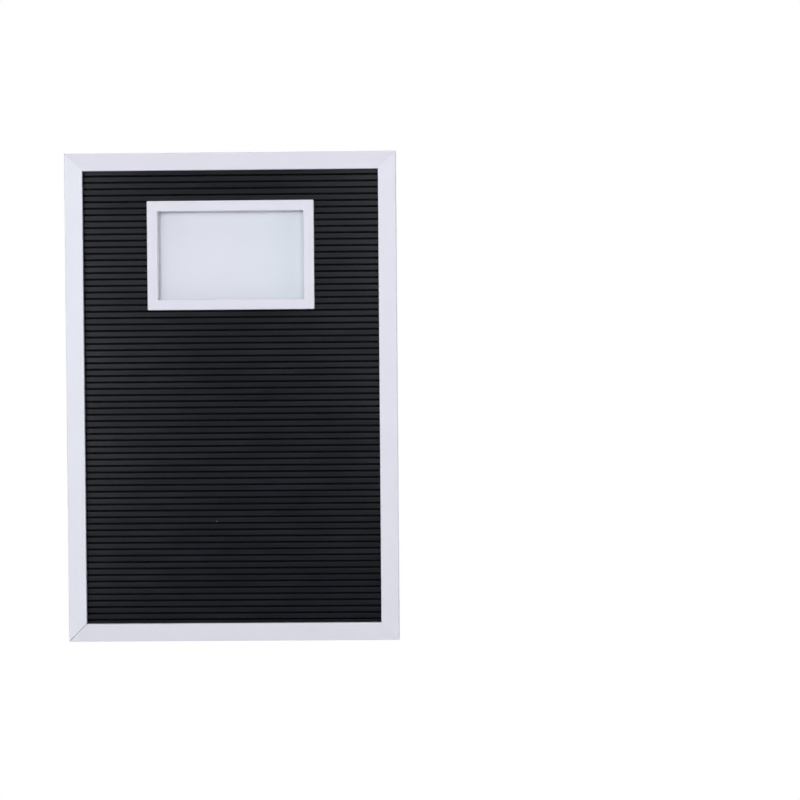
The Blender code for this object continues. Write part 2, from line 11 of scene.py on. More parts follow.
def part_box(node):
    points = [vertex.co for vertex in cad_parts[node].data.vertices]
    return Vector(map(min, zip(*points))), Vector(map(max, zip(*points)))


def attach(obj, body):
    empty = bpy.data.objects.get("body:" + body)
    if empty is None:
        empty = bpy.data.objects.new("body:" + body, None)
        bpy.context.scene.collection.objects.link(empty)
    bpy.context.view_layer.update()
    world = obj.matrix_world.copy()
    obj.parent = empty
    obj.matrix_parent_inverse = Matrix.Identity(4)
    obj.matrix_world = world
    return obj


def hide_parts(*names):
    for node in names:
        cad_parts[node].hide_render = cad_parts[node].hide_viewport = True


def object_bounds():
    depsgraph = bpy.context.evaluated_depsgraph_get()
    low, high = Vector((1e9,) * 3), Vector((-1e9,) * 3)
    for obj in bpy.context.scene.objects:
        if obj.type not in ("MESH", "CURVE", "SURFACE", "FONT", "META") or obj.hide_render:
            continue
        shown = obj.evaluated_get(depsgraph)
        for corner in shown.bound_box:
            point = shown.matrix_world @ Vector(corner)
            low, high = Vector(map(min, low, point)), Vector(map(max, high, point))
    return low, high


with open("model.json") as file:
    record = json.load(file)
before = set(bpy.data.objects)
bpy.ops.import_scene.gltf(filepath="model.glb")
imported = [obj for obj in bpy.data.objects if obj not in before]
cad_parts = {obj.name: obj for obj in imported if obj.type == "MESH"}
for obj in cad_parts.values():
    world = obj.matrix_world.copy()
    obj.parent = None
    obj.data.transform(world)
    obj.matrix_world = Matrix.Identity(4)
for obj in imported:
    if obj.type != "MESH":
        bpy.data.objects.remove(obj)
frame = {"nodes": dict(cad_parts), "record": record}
cad_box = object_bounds()


# The frame is four lengths of one fibreboard moulding, mitred and pulled together from behind.
# White foil wraps the face, the sides and the lip, and turns a little way onto the rear. The rest
# is bare fibre. Each rail's white is painted a breath lighter or darker by how the light falls on
# its side, and the lower left mitre has opened.

MM = 0.001
RAILS = ("frame_rail_top", "frame_rail_bottom", "frame_rail_left", "frame_rail_right")
RAIL_CREASE = 35
RAIL_REAR_WALL = 9.5 * MM
REBATE_MARGIN = 0.1 * MM
LIP_GAP = 0.35 * MM
FOIL_RETURN = 4.5 * MM
REAR_MARGIN = 0.05 * MM
MITRE_FACING = 0.6
JOINT_CLOSING = 0.18 * MM
OPEN_FRONT_CLOSING = 0.1 * MM
OPEN_REAR_CLOSING = 0.3 * MM
OPENING_DEPTH = 10.0 * MM
OPEN_EDGE_DEPTH = 1.0 * MM
OPEN_EDGE_EASE = 0.2 * MM
WELD = 0.004 * MM
FLAT_TURN = 0.5
# Painted light: each rail's pair of whites is set lighter or darker by the light on that side.
SIDE_LIT_FOIL_TONES = {
    "frame_rail_top": ("E4E2EB", "DDDCE5"),
    "frame_rail_bottom": ("E7E6EE", "E0DFE8"),
    "frame_rail_left": ("EAEBF3", "E4E5ED"),
    "frame_rail_right": ("E9E8F1", "E2E1EA"),
}
FOIL_CLOUD = 38.0
FOIL_PEEL = 1.3
FOIL_SATIN = (0.36, 0.46)
PEEL_BUMP = (0.35, 0.02 * MM)
FIBRE_LIGHT = "B79A76"
FIBRE_DARK = "94754F"
FIBRE_FLECK = 0.7
FIBRE_CLOUD = 22.0
FIBRE_CLOUD_SHARE = 0.18
FIBRE_SPREAD = (0.35, 0.85)
FIBRE_ROUGHNESS = 0.9


def linear(code):
    """A six-digit sRGB colour as linear red, green and blue, with alpha 1."""
    channels = [int(code[i:i + 2], 16) / 255 for i in (0, 2, 4)]
    return (*[c / 12.92 if c <= 0.04045 else ((c + 0.055) / 1.055) ** 2.4 for c in channels], 1.0)


def per(size_mm):
    """Pattern scale for a feature of that many millimetres, with coordinates in metres."""
    return 1.0 / (size_mm * MM)


def add_node(material, kind, settings=None, sockets=None):
    """Add one node. A socket takes a link from another node's output, or a value."""
    node = material.node_tree.nodes.new("ShaderNode" + kind)
    for name, value in (settings or {}).items():
        setattr(node, name, value)
    for key, value in (sockets or {}).items():
        if isinstance(value, bpy.types.NodeSocket):
            material.node_tree.links.new(value, node.inputs[key])
        else:
            node.inputs[key].default_value = value
    return node


def noise(material, place, size_mm, detail, roughness=0.5):
    """Noise with features of that size."""
    return add_node(material, "TexNoise", None, {
        "Vector": place, "Scale": per(size_mm), "Detail": detail, "Roughness": roughness,
    }).outputs[0]


def work_out(material, operation, *values):
    """The result of one sum on links or numbers."""
    sockets = dict(enumerate(values))
    return add_node(material, "Math", {"operation": operation}, sockets).outputs[0]


def ranged(material, value, to_low, to_high, from_low=0.0, from_high=1.0):
    """A value carried from one range to another, and held within it."""
    return add_node(material, "MapRange", None, {
        0: value, 1: from_low, 2: from_high, 3: to_low, 4: to_high,
    }).outputs[0]


def mix_colours(material, factor, first, second):
    """From the first colour to the second as the factor goes from 0 to 1."""
    sockets = {0: factor, 6: first, 7: second}
    return add_node(material, "Mix", {"data_type": "RGBA"}, sockets).outputs[2]


def mix_values(material, factor, first, second):
    """From the first value to the second as the factor goes from 0 to 1."""
    sockets = {0: factor, 2: first, 3: second}
    return add_node(material, "Mix", {"data_type": "FLOAT"}, sockets).outputs[0]


def start_finish(name, constants):
    """A new material with its shader's constant sockets set, and its place in the board."""
    material = bpy.data.materials.new(name)
    material.use_nodes = True
    shader = material.node_tree.nodes["Principled BSDF"]
    for key, value in constants.items():
        shader.inputs[key].default_value = value
    place = add_node(material, "TexCoord").outputs["Object"]
    return material, shader, place


def feed(material, shader, key, output):
    """Link a node's output to one socket of the shader."""
    material.node_tree.links.new(output, shader.inputs[key])


def raise_surface(material, shader, height, strength, distance):
    """Bump the shader's surface by a height of 0 to 1, over that distance in metres."""
    bump = add_node(material, "Bump", None, {
        "Height": height, "Strength": strength, "Distance": distance,
    })
    feed(material, shader, "Normal", bump.outputs[0])


def body_of_node(node):
    """The body that a node belongs to."""
    bodies = frame["record"]["behaviour"]["bodies"]
    return next(body for body, nodes in bodies.items() if node in nodes)


def stand_for(piece, node):
    """Let a finished piece ride on its node's body, and hide the node."""
    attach(piece, body_of_node(node))
    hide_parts(node)


def make_piece(bm, name, material, crease_deg):
    """A smooth-shaded object from a bmesh, sharp where its faces turn by more than the crease."""
    mesh = bpy.data.meshes.new(name)
    bm.to_mesh(mesh)
    bm.free()
    mesh.shade_smooth()
    mesh.set_sharp_from_angle(angle=radians(crease_deg))
    mesh.materials.clear()
    mesh.materials.append(material)
    piece = bpy.data.objects.new(name, mesh)
    bpy.context.collection.objects.link(piece)
    return piece


def dress(node, name, material, crease_deg, bevel_mm=0.0):
    """A welded, smooth-shaded copy of a node's solid, with its sharp edges eased."""
    bm = bmesh.new()
    bm.from_mesh(frame["nodes"][node].data)
    bmesh.ops.remove_doubles(bm, verts=bm.verts, dist=WELD)
    bmesh.ops.dissolve_limit(bm, angle_limit=radians(FLAT_TURN), verts=bm.verts, edges=bm.edges)
    piece = make_piece(bm, name, material, crease_deg)
    if bevel_mm:
        eased = piece.modifiers.new("eased_edges", "BEVEL")
        eased.width = bevel_mm * MM
        eased.segments = 2
        eased.limit_method = "ANGLE"
        eased.angle_limit = radians(crease_deg)
        eased.harden_normals = True
    else:
        flat = piece.modifiers.new("flat_faces", "WEIGHTED_NORMAL")
        flat.keep_sharp = True
        flat.weight = 100
    stand_for(piece, node)
    return piece


def fibre_colour(material, place, light, dark):
    """Pressed wood fibre: short pale and dark flecks in a mottled ground. Gives the flecks too."""
    fleck = noise(material, place, FIBRE_FLECK, 3.0, 0.65)
    cloud = noise(material, place, FIBRE_CLOUD, 2.0)
    both = work_out(material, "MULTIPLY_ADD", cloud, FIBRE_CLOUD_SHARE, fleck)
    spread = ranged(material, both, 0.0, 1.0, *FIBRE_SPREAD)
    return mix_colours(material, spread, linear(dark), linear(light)), fleck


def frame_middle():
    """Middle of the frame's outline in X and Z, and half its width and height."""
    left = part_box("frame_rail_left")[0][0]
    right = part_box("frame_rail_right")[1][0]
    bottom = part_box("frame_rail_bottom")[0][2]
    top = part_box("frame_rail_top")[1][2]
    return (left + right) / 2, (bottom + top) / 2, (right - left) / 2, (top - bottom) / 2


def inward_from_outline(material, x, z):
    """How far a place lies inside the frame's outline."""
    mid_x, mid_z, half_x, half_z = frame_middle()
    across = work_out(material, "ABSOLUTE", work_out(material, "SUBTRACT", x, mid_x))
    up = work_out(material, "ABSOLUTE", work_out(material, "SUBTRACT", z, mid_z))
    from_side = work_out(material, "SUBTRACT", half_x, across)
    from_top = work_out(material, "SUBTRACT", half_z, up)
    return work_out(material, "MINIMUM", from_side, from_top)


def bare_of_foil(material, place):
    """1 in the rebate, and on the rear past the foil's return. 0 where the foil is."""
    x, y, z = add_node(material, "SeparateXYZ", None, {0: place}).outputs
    inward = inward_from_outline(material, x, z)
    lip_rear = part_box("letter_panel")[0][1] - LIP_GAP
    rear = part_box("frame_rail_top")[1][1]
    past_lip = work_out(material, "GREATER_THAN", y, lip_rear)
    past_wall = work_out(material, "GREATER_THAN", inward, RAIL_REAR_WALL - REBATE_MARGIN)
    in_rebate = work_out(material, "MULTIPLY", past_lip, past_wall)
    on_rear = work_out(material, "GREATER_THAN", y, rear - REAR_MARGIN)
    past_return = work_out(material, "GREATER_THAN", inward, FOIL_RETURN)
    bare_rear = work_out(material, "MULTIPLY", on_rear, past_return)
    return work_out(material, "MAXIMUM", in_rebate, bare_rear)


def foil_wrapped_fibreboard(name, foil_white, foil_shade):
    """White PVC foil, satin, with a faint orange peel from the glue; bare fibre where it stops."""
    material, shader, place = start_finish(name, {"IOR": 1.48})
    bare = bare_of_foil(material, place)
    cloud = noise(material, place, FOIL_CLOUD, 2.0)
    foil = mix_colours(material, cloud, linear(foil_shade), linear(foil_white))
    fibre, fleck = fibre_colour(material, place, FIBRE_LIGHT, FIBRE_DARK)
    feed(material, shader, "Base Color", mix_colours(material, bare, foil, fibre))
    peel = noise(material, place, FOIL_PEEL, 1.0)
    satin = ranged(material, peel, *FOIL_SATIN)
    feed(material, shader, "Roughness", mix_values(material, bare, satin, FIBRE_ROUGHNESS))
    raise_surface(material, shader, mix_values(material, bare, peel, fleck), *PEEL_BUMP)
    return material


def close_mitres(rail, node):
    """Bring the cut ends together. The lower left joint stays open in front, its edges eased."""
    mid_x, mid_z = frame_middle()[:2]
    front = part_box(node)[0][1]
    along = 0 if node in ("frame_rail_top", "frame_rail_bottom") else 2
    bm = bmesh.new()
    bm.from_mesh(rail.data)
    shifts = {}
    open_edges = set()
    for face in bm.faces:
        if min(abs(face.normal.x), abs(face.normal.z)) <= MITRE_FACING:
            continue
        middle = face.calc_center_median()
        lower_left = middle.x < mid_x and middle.z < mid_z
        direction = 1 if face.normal[along] > 0 else -1
        for vert in face.verts:
            sunk = min(1.0, (vert.co.y - front) / OPENING_DEPTH)
            opened = OPEN_FRONT_CLOSING + (OPEN_REAR_CLOSING - OPEN_FRONT_CLOSING) * sunk
            shifts[vert] = direction * (opened if lower_left else JOINT_CLOSING)
        if lower_left:
            in_front = front + OPEN_EDGE_DEPTH
            open_edges.update(
                edge for edge in face.edges if all(v.co.y < in_front for v in edge.verts)
            )
    for vert, shift in shifts.items():
        vert.co[along] += shift
    bmesh.ops.bevel(
        bm,
        geom=list(open_edges),
        offset=OPEN_EDGE_EASE,
        segments=2,
        profile=0.5,
        affect="EDGES",
        clamp_overlap=True,
    )
    bm.to_mesh(rail.data)
    bm.free()
    rail.data.set_sharp_from_angle(angle=radians(RAIL_CREASE))


for node in RAILS:
    side = node.replace("frame_rail_", "")
    finish = foil_wrapped_fibreboard("white_foil_on_fibreboard_" + side, *SIDE_LIT_FOIL_TONES[node])
    rail = dress(node, "rail_" + side, finish, RAIL_CREASE)
    close_mitres(rail, node)


# V-nails are bent strips of zinc-plated steel, pressed across each mitre from behind until they
# lie flush. Flexible points are thin sprung steel, shot into the rebate wall so that their
# tongues press on the back panel and can be bent up to take it out.

STEEL_PALE = "C3C6C9"
STEEL_DULL = "9A9EA2"
STEEL_CREASE = 30
PLATING_CLOUD = 3.0
ROLLED = (1.0, 1.0, 0.12)
SMOOTHER = 0.07
ROUGHER = 0.1
SCRATCH_BUMP = (0.3, 0.01 * MM)
SPRUNG_SCRATCH = 0.35
SPRUNG_ROUGHNESS = 0.36
POINT_EASE = 0.08
V_NAIL_EASE = 0.06


def stretched(material, place, scale):
    """The place, scaled. A small number draws a pattern out in its direction."""
    return add_node(material, "Mapping", None, {0: place, 3: scale}).outputs[0]


def zinc_plated_steel(name, scratch_mm, roughness):
    """Bright zinc over rolled steel: soft cloudy plating and fine rolling lines."""
    material, shader, place = start_finish(name, {"Metallic": 1.0})
    cloud = noise(material, place, PLATING_CLOUD, 3.0)
    colour = mix_colours(material, cloud, linear(STEEL_DULL), linear(STEEL_PALE))
    feed(material, shader, "Base Color", colour)
    line = noise(material, stretched(material, place, ROLLED), scratch_mm, 2.0)
    sheen = ranged(material, line, roughness - SMOOTHER, roughness + ROUGHER)
    feed(material, shader, "Roughness", sheen)
    raise_surface(material, shader, line, *SCRATCH_BUMP)
    return material


sprung_steel = zinc_plated_steel("zinc_plated_spring_steel", SPRUNG_SCRATCH, SPRUNG_ROUGHNESS)
for node in sorted(frame["nodes"]):
    if node.startswith("v_nail"):
        name = node.replace("v_nail", "corner_nail")
        dress(node, name, sprung_steel, STEEL_CREASE, V_NAIL_EASE)
    if node.startswith("flexible_point"):
        name = node.replace("flexible", "sprung")
        dress(node, name, sprung_steel, STEEL_CREASE, POINT_EASE)


# The letter panel is one sheet of black polystyrene with undercut grooves that grip the pegs of
# the letters. It comes out of the tool with faint lengthwise drag lines on each rib, and its
# satin black shows a little dust.

PANEL_BLACK = "050812"
PANEL_WORN = "0A0F1A"
PANEL_GROOVE_SHADE = "010204"
PANEL_CREASE = 50
PANEL_CLOUD = 11.0
CLOUD_STRETCH = (0.25, 1.0, 1.0)
DRAG_LINE = 0.45
DRAG_STRETCH = (0.02, 1.0, 1.0)
DRAG_SHARE = 0.35
DRAG_BUMP = (0.3, 0.015 * MM)
TONE_SPREAD = (0.45, 0.95)
RIB_GLOSS = (0.28, 0.32)
GROOVE_GLOSS = 0.12
GROOVE_START = 0.02 * MM
GROOVE_FULL = 0.18 * MM
DUST = "9A9A9C"
DUST_SPACING = 55.0
DUST_SIZE = 0.009
DUST_RARITY = 0.6


def dust_specks(material, place):
    """1 on a few small specks, wide apart, and 0 elsewhere."""
    cell = add_node(material, "TexVoronoi", {"feature": "F1"}, {
        "Vector": place, "Scale": per(DUST_SPACING), "Randomness": 1.0,
    }).outputs
    near = work_out(material, "LESS_THAN", cell["Distance"], DUST_SIZE)
    chance = add_node(material, "SeparateColor", None, {0: cell["Color"]}).outputs[0]
    chosen = work_out(material, "GREATER_THAN", chance, DUST_RARITY)
    return work_out(material, "MULTIPLY", near, chosen)


def extruded_black_polystyrene():
    """Satin black: fine lines along the ribs break up the sheen. Grooves keep the die's gloss and
    are painted near-black as shade.
    """
    material, shader, place = start_finish("extruded_black_polystyrene", {"IOR": 1.59})
    drag = noise(material, stretched(material, place, DRAG_STRETCH), DRAG_LINE, 2.0, 0.6)
    cloud = noise(material, stretched(material, place, CLOUD_STRETCH), PANEL_CLOUD, 3.0)
    tone = work_out(material, "MULTIPLY_ADD", drag, DRAG_SHARE, cloud)
    tone = ranged(material, tone, 0.0, 1.0, *TONE_SPREAD)
    black = mix_colours(material, tone, linear(PANEL_BLACK), linear(PANEL_WORN))
    dusty = mix_colours(material, dust_specks(material, place), black, linear(DUST))
    rib_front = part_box("letter_panel")[0][1]
    depth = add_node(material, "SeparateXYZ", None, {0: place}).outputs[1]
    # Painted shade: below the rib face, the groove walls and rounded rib edges turn near-black.
    sunk = ranged(material, depth, 0.0, 1.0, rib_front + GROOVE_START, rib_front + GROOVE_FULL)
    feed(material, shader, "Base Color", mix_colours(material, sunk, dusty, linear(PANEL_GROOVE_SHADE)))
    sheen = ranged(material, tone, *RIB_GLOSS)
    feed(material, shader, "Roughness", mix_values(material, sunk, sheen, GROOVE_GLOSS))
    raise_surface(material, shader, drag, *DRAG_BUMP)
    return material


dress("letter_panel", "grooved_panel", extruded_black_polystyrene(), PANEL_CREASE)


# The bezel is one white moulding of high-impact polystyrene. Its flange sits on the ribs and its
# skirt goes back through the panel. The flange has soft rounded edges and corners, and the face
# sinks a hair where the skirt meets it, as thick sections do when they cool.

BEZEL_EDGE = 0.7 * MM
BEZEL_CORNER = 1.0 * MM
BEZEL_INNER_EDGE = 0.5 * MM
BEZEL_FACE = 9.4 * MM
BEZEL_CREASE = 40
FLANGE_GAP = 0.3 * MM
SKIRT_WALL = 2.6 * MM
SINK_DEPTH = 0.04 * MM
BEZEL_SEGMENTS = 8
INNER_SEGMENTS = 4
BEZEL_WHITE = "E6E4ED"
BEZEL_SHADE = "DFDEE8"
BEZEL_CLOUD = 26.0
BEZEL_GLOSS = (0.28, 0.38)
SPARK_GRAIN = 0.5
SPARK_BUMP = (0.25, 0.012 * MM)


def arc_points(centre, radius, start_deg, end_deg, steps):
    """Points along an arc, both ends included."""
    angles = [radians(start_deg + (end_deg - start_deg) * i / steps) for i in range(steps + 1)]
    return [(centre[0] + radius * cos(a), centre[1] + radius * sin(a)) for a in angles]


def soft_rectangle(half_x, half_z, radius, steps):
    """Outline of a rectangle with round corners."""
    x = half_x - radius
    z = half_z - radius
    outline = []
    for centre, start in (((x, z), 0), ((-x, z), 90), ((-x, -z), 180), ((x, -z), 270)):
        outline += arc_points(centre, radius, start, start + 90, steps)
    return outline


def bezel_section(front, rear, flange_rear):
    """The bezel's section as (outward growth, depth, corner radius) from its outer edge inward."""
    outer_centre = (BEZEL_FACE - BEZEL_EDGE, front + BEZEL_EDGE)
    inner_centre = (BEZEL_INNER_EDGE, front + BEZEL_INNER_EDGE)
    outer = arc_points(outer_centre, BEZEL_EDGE, 0, -90, BEZEL_SEGMENTS)
    inner = arc_points(inner_centre, BEZEL_INNER_EDGE, 270, 180, INNER_SEGMENTS)
    section = [(out, y, BEZEL_CORNER + out - BEZEL_FACE) for out, y in outer]
    face_mid = (BEZEL_FACE - BEZEL_EDGE + BEZEL_INNER_EDGE) / 2
    for out in (face_mid + SKIRT_WALL, face_mid, face_mid - SKIRT_WALL):
        sink = SINK_DEPTH if out == face_mid else SINK_DEPTH / 2
        section.append((out, front + sink, BEZEL_INNER_EDGE))
    section += [(out, y, BEZEL_INNER_EDGE) for out, y in inner]
    section.append((0.0, rear, BEZEL_INNER_EDGE))
    section.append((SKIRT_WALL, rear, BEZEL_INNER_EDGE))
    section.append((SKIRT_WALL, flange_rear, BEZEL_INNER_EDGE))
    section.append((BEZEL_FACE, flange_rear, BEZEL_CORNER))
    return section


def mould_bezel(material):
    """Loft the bezel through its rings."""
    low, high = (Vector(corner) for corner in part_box("photo_bezel"))
    half_x = (high.x - low.x) / 2 - BEZEL_FACE
    half_z = (high.z - low.z) / 2 - BEZEL_FACE
    flange_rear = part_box("letter_panel")[0][1] - FLANGE_GAP
    bm = bmesh.new()
    rings = []
    for out, y, radius in bezel_section(low.y, high.y, flange_rear):
        outline = soft_rectangle(half_x + out, half_z + out, radius, BEZEL_SEGMENTS)
        rings.append([bm.verts.new((x, y, z)) for x, z in outline])
    for ring, following in zip(rings, rings[1:] + rings[:1]):
        for i, vert in enumerate(ring):
            j = (i + 1) % len(ring)
            bm.faces.new((vert, ring[j], following[j], following[i]))
    bmesh.ops.translate(bm, verts=bm.verts, vec=((low.x + high.x) / 2, 0.0, (low.z + high.z) / 2))
    bmesh.ops.recalc_face_normals(bm, faces=bm.faces)
    stand_for(make_piece(bm, "window_bezel", material, BEZEL_CREASE), "photo_bezel")


def moulded_white_polystyrene():
    """White high-impact polystyrene, semi-gloss, with the tool's very fine spark texture."""
    material, shader, place = start_finish("moulded_white_polystyrene", {"IOR": 1.55})
    cloud = noise(material, place, BEZEL_CLOUD, 2.0)
    colour = mix_colours(material, cloud, linear(BEZEL_SHADE), linear(BEZEL_WHITE))
    feed(material, shader, "Base Color", colour)
    spark = noise(material, place, SPARK_GRAIN, 2.0)
    feed(material, shader, "Roughness", ranged(material, spark, *BEZEL_GLOSS))
    raise_surface(material, shader, spark, *SPARK_BUMP)
    return material


mould_bezel(moulded_white_polystyrene())


# The pane is thin float glass, cut to photo size with its arrises taken off. Behind it lies a
# blank card the colour of pale mist in the place of a photo. Towards the right edge it turns a
# breath cooler and darker, partly a tint and partly painted shade from the bezel's wall.

GLASS_TINT = "FDFEFE"
GLASS_WAVE = 60.0
GLASS_GLOSS = (0.0, 0.03)
GLASS_EASE = 0.15
PANE_CREASE = 30
CARD_PALE = "DBD9E3"
CARD_COOL = "D5D6DE"
CARD_RIGHT_SHADE = "D2D9E0"
CARD_CLOUD = 45.0
CARD_TOOTH = 0.4
CARD_MATT = (0.6, 0.75)
TOOTH_BUMP = (0.1, 0.005 * MM)


def let_light_through(material, shader):
    """Let the light that falls on the pane reach the card behind it, as thin clear glass does."""
    path = add_node(material, "LightPath").outputs
    lit = work_out(material, "MAXIMUM", path["Is Shadow Ray"], path["Is Diffuse Ray"])
    clear = add_node(material, "BsdfTransparent", None, {0: linear(GLASS_TINT)})
    both = add_node(material, "MixShader", None, {
        0: lit, 1: shader.outputs[0], 2: clear.outputs[0],
    })
    output = material.node_tree.nodes["Material Output"]
    material.node_tree.links.new(both.outputs[0], output.inputs["Surface"])


def float_glass():
    """Float glass: clear, smooth, with a breath of green and the faintest waviness."""
    material, shader, place = start_finish("float_glass", {
        "Base Color": linear(GLASS_TINT), "IOR": 1.52, "Transmission Weight": 1.0,
    })
    wave = noise(material, place, GLASS_WAVE, 1.0)
    feed(material, shader, "Roughness", ranged(material, wave, *GLASS_GLOSS))
    let_light_through(material, shader)
    return material


def coated_card():
    """Blank coated card: nearly white, slightly cool, with a soft fibre tooth."""
    material, shader, place = start_finish("coated_card", {"IOR": 1.45})
    cloud = noise(material, place, CARD_CLOUD, 1.0)
    colour = mix_colours(material, cloud, linear(CARD_COOL), linear(CARD_PALE))
    low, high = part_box("photo_card")
    # Painted shade: the card darkens and cools from its middle to its right edge.
    aside = add_node(material, "SeparateXYZ", None, {0: place}).outputs[0]
    right_shade = ranged(material, aside, 0.0, 1.0, (low[0] + high[0]) / 2, high[0])
    colour = mix_colours(material, right_shade, colour, linear(CARD_RIGHT_SHADE))
    feed(material, shader, "Base Color", colour)
    tooth = noise(material, place, CARD_TOOTH, 2.0)
    feed(material, shader, "Roughness", ranged(material, tooth, *CARD_MATT))
    raise_surface(material, shader, tooth, *TOOTH_BUMP)
    return material


dress("photo_glass", "window_pane", float_glass(), PANE_CREASE, GLASS_EASE)
dress("photo_card", "blank_card", coated_card(), PANE_CREASE)


# The back is two pieces of pressed wood fibre: a sanded fibreboard panel that fills the rebate,
# and a darker hardboard cover over the photo, smooth on one face and with the press's wire-screen
# pattern on the other, which faces out.

BOARD_LIGHT = "BFA27C"
BOARD_DARK = "9F8058"
BOARD_MATT = (0.75, 0.95)
BOARD_CREASE = 30
BOARD_EASE = 0.25
SANDING_LINE = 0.5
SANDING_STRETCH = (1.0, 1.0, 0.03)
SANDING_SHARE = 0.6
SANDING_BUMP = (0.5, 0.04 * MM)
HARD_LIGHT = "8D6B4A"
HARD_DARK = "6E5037"
HARD_WAXY = (0.72, 0.55)
RIDGE_TO_HOLLOW = 1.2
WAVE_RADIANS = 20.0
WIRE_WANDER = 0.3
FLECK_SHARE = 0.3
SCREEN_BUMP = (0.6, 0.08 * MM)


def sanded_fibreboard():
    """Medium-density fibreboard: matt buff brown, fine flecks and faint sanding lines."""
    material, shader, place = start_finish("sanded_fibreboard", {"IOR": 1.45})
    colour, fleck = fibre_colour(material, place, BOARD_LIGHT, BOARD_DARK)
    feed(material, shader, "Base Color", colour)
    sanding = noise(material, stretched(material, place, SANDING_STRETCH), SANDING_LINE, 2.0)
    feed(material, shader, "Roughness", ranged(material, sanding, *BOARD_MATT))
    height = work_out(material, "MULTIPLY_ADD", sanding, SANDING_SHARE, fleck)
    raise_surface(material, shader, height, *SANDING_BUMP)
    return material


def screened_hardboard():
    """Hardboard: dark brown, slightly waxy, with a woven screen's ridges and hollows."""
    material, shader, place = start_finish("screened_hardboard", {"IOR": 1.48})
    colour, fleck = fibre_colour(material, place, HARD_LIGHT, HARD_DARK)
    feed(material, shader, "Base Color", colour)
    waves = []
    for direction in ("X", "Z"):
        waves.append(add_node(material, "TexWave", {"bands_direction": direction}, {
            "Vector": place, "Scale": per(RIDGE_TO_HOLLOW) / WAVE_RADIANS * pi,
            "Distortion": WIRE_WANDER, "Detail": 1.0,
        }).outputs[1])
    weave = work_out(material, "MULTIPLY", *waves)
    height = work_out(material, "MULTIPLY_ADD", fleck, FLECK_SHARE, weave)
    feed(material, shader, "Roughness", ranged(material, height, *HARD_WAXY))
    raise_surface(material, shader, height, *SCREEN_BUMP)
    return material


dress("back_panel", "fibre_back", sanded_fibreboard(), BOARD_CREASE, BOARD_EASE)
dress("photo_cover", "lift_out_cover", screened_hardboard(), BOARD_CREASE, BOARD_EASE)


# Four turn buttons hold the cover. Each is stamped from zinc-plated strip, with edges that the
# die has rolled over a little, and swings on a pan-head screw with a cross recess.

STRIP_SCRATCH = 0.3
STRIP_ROUGHNESS = 0.3
WIRE_SCRATCH = 0.6
WIRE_ROUGHNESS = 0.26
BUTTON_EASE = 0.14
SCREW_SHANK = 1.4 * MM
HEAD_SEGMENTS = 32
HEAD_CREASE = 40
HEAD_HEIGHT = 1.8 * MM
HEAD_DOME = 0.9 * MM
HEAD_STEP_DEG = 15
HEAD_CHAMFER = 0.15 * MM
HEAD_UNDERSIDE = 0.94
RECESS_REACH = 0.55
RECESS_WIDTH = 0.7 * MM
RECESS_DEPTH = 1.1 * MM
RECESS_TIP = 0.45
RECESS_MOUTH = 1.1
CUTTER_LENGTH = 1.3
CUTTER_MIDDLE = 0.35
SIDE_PER_RADIUS = 1.4


def turned(name, profile, centre, material, segments):
    """A solid turned about an axis along Y, from a profile of (radius, depth) points."""
    bm = bmesh.new()
    angles = [2 * pi * i / segments for i in range(segments)]
    rings = []
    for radius, y in profile:
        if radius == 0.0:
            rings.append([bm.verts.new((centre[0], y, centre[1]))])
            continue
        rings.append([
            bm.verts.new((centre[0] + radius * cos(a), y, centre[1] + radius * sin(a)))
            for a in angles
        ])
    for ring, following in zip(rings, rings[1:]):
        for i in range(segments):
            j = (i + 1) % segments
            corners = [ring[i % len(ring)], ring[j % len(ring)]]
            corners += [following[j % len(following)], following[i % len(following)]]
            bm.faces.new(dict.fromkeys(corners))
    bmesh.ops.recalc_face_normals(bm, faces=bm.faces)
    return make_piece(bm, name, material, HEAD_CREASE)


def cross_cutter(centre, head_top, reach):
    """Two crossed bars that taper into a screw's head."""
    bm = bmesh.new()
    for turn in (0.0, pi / 2):
        bar = bmesh.ops.create_cone(
            bm,
            cap_ends=True,
            segments=4,
            radius1=reach * RECESS_TIP,
            radius2=reach * RECESS_MOUTH,
            depth=RECESS_DEPTH * CUTTER_LENGTH,
            matrix=Matrix.Rotation(pi / 4, 4, "Z"),
        )["verts"]
        squeeze = Matrix.Diagonal((1.0, RECESS_WIDTH / reach / SIDE_PER_RADIUS, 1.0, 1.0))
        bmesh.ops.transform(bm, matrix=Matrix.Rotation(turn, 4, "Z") @ squeeze, verts=bar)
    middle = head_top - RECESS_DEPTH * CUTTER_MIDDLE
    stand = Matrix.Translation((centre[0], middle, centre[1]))
    bmesh.ops.transform(bm, matrix=stand @ Matrix.Rotation(-pi / 2, 4, "X"), verts=bm.verts)
    bmesh.ops.recalc_face_normals(bm, faces=bm.faces)
    mesh = bpy.data.meshes.new("cross_cutter")
    bm.to_mesh(mesh)
    bm.free()
    cutter = bpy.data.objects.new("cross_cutter", mesh)
    bpy.context.collection.objects.link(cutter)
    return cutter


def sink_cross(screw, centre, head_top, reach):
    """Cut a tapered cross recess into a screw's head and keep the result as its mesh."""
    cutter = cross_cutter(centre, head_top, reach)
    boolean = screw.modifiers.new("cross", "BOOLEAN")
    boolean.object = cutter
    boolean.use_self = True
    graph = bpy.context.evaluated_depsgraph_get()
    sunk = bpy.data.meshes.new_from_object(screw.evaluated_get(graph), depsgraph=graph)
    screw.modifiers.clear()
    screw.data = sunk
    sunk.set_sharp_from_angle(angle=radians(HEAD_CREASE))
    mesh = cutter.data
    bpy.data.objects.remove(cutter)
    bpy.data.meshes.remove(mesh)


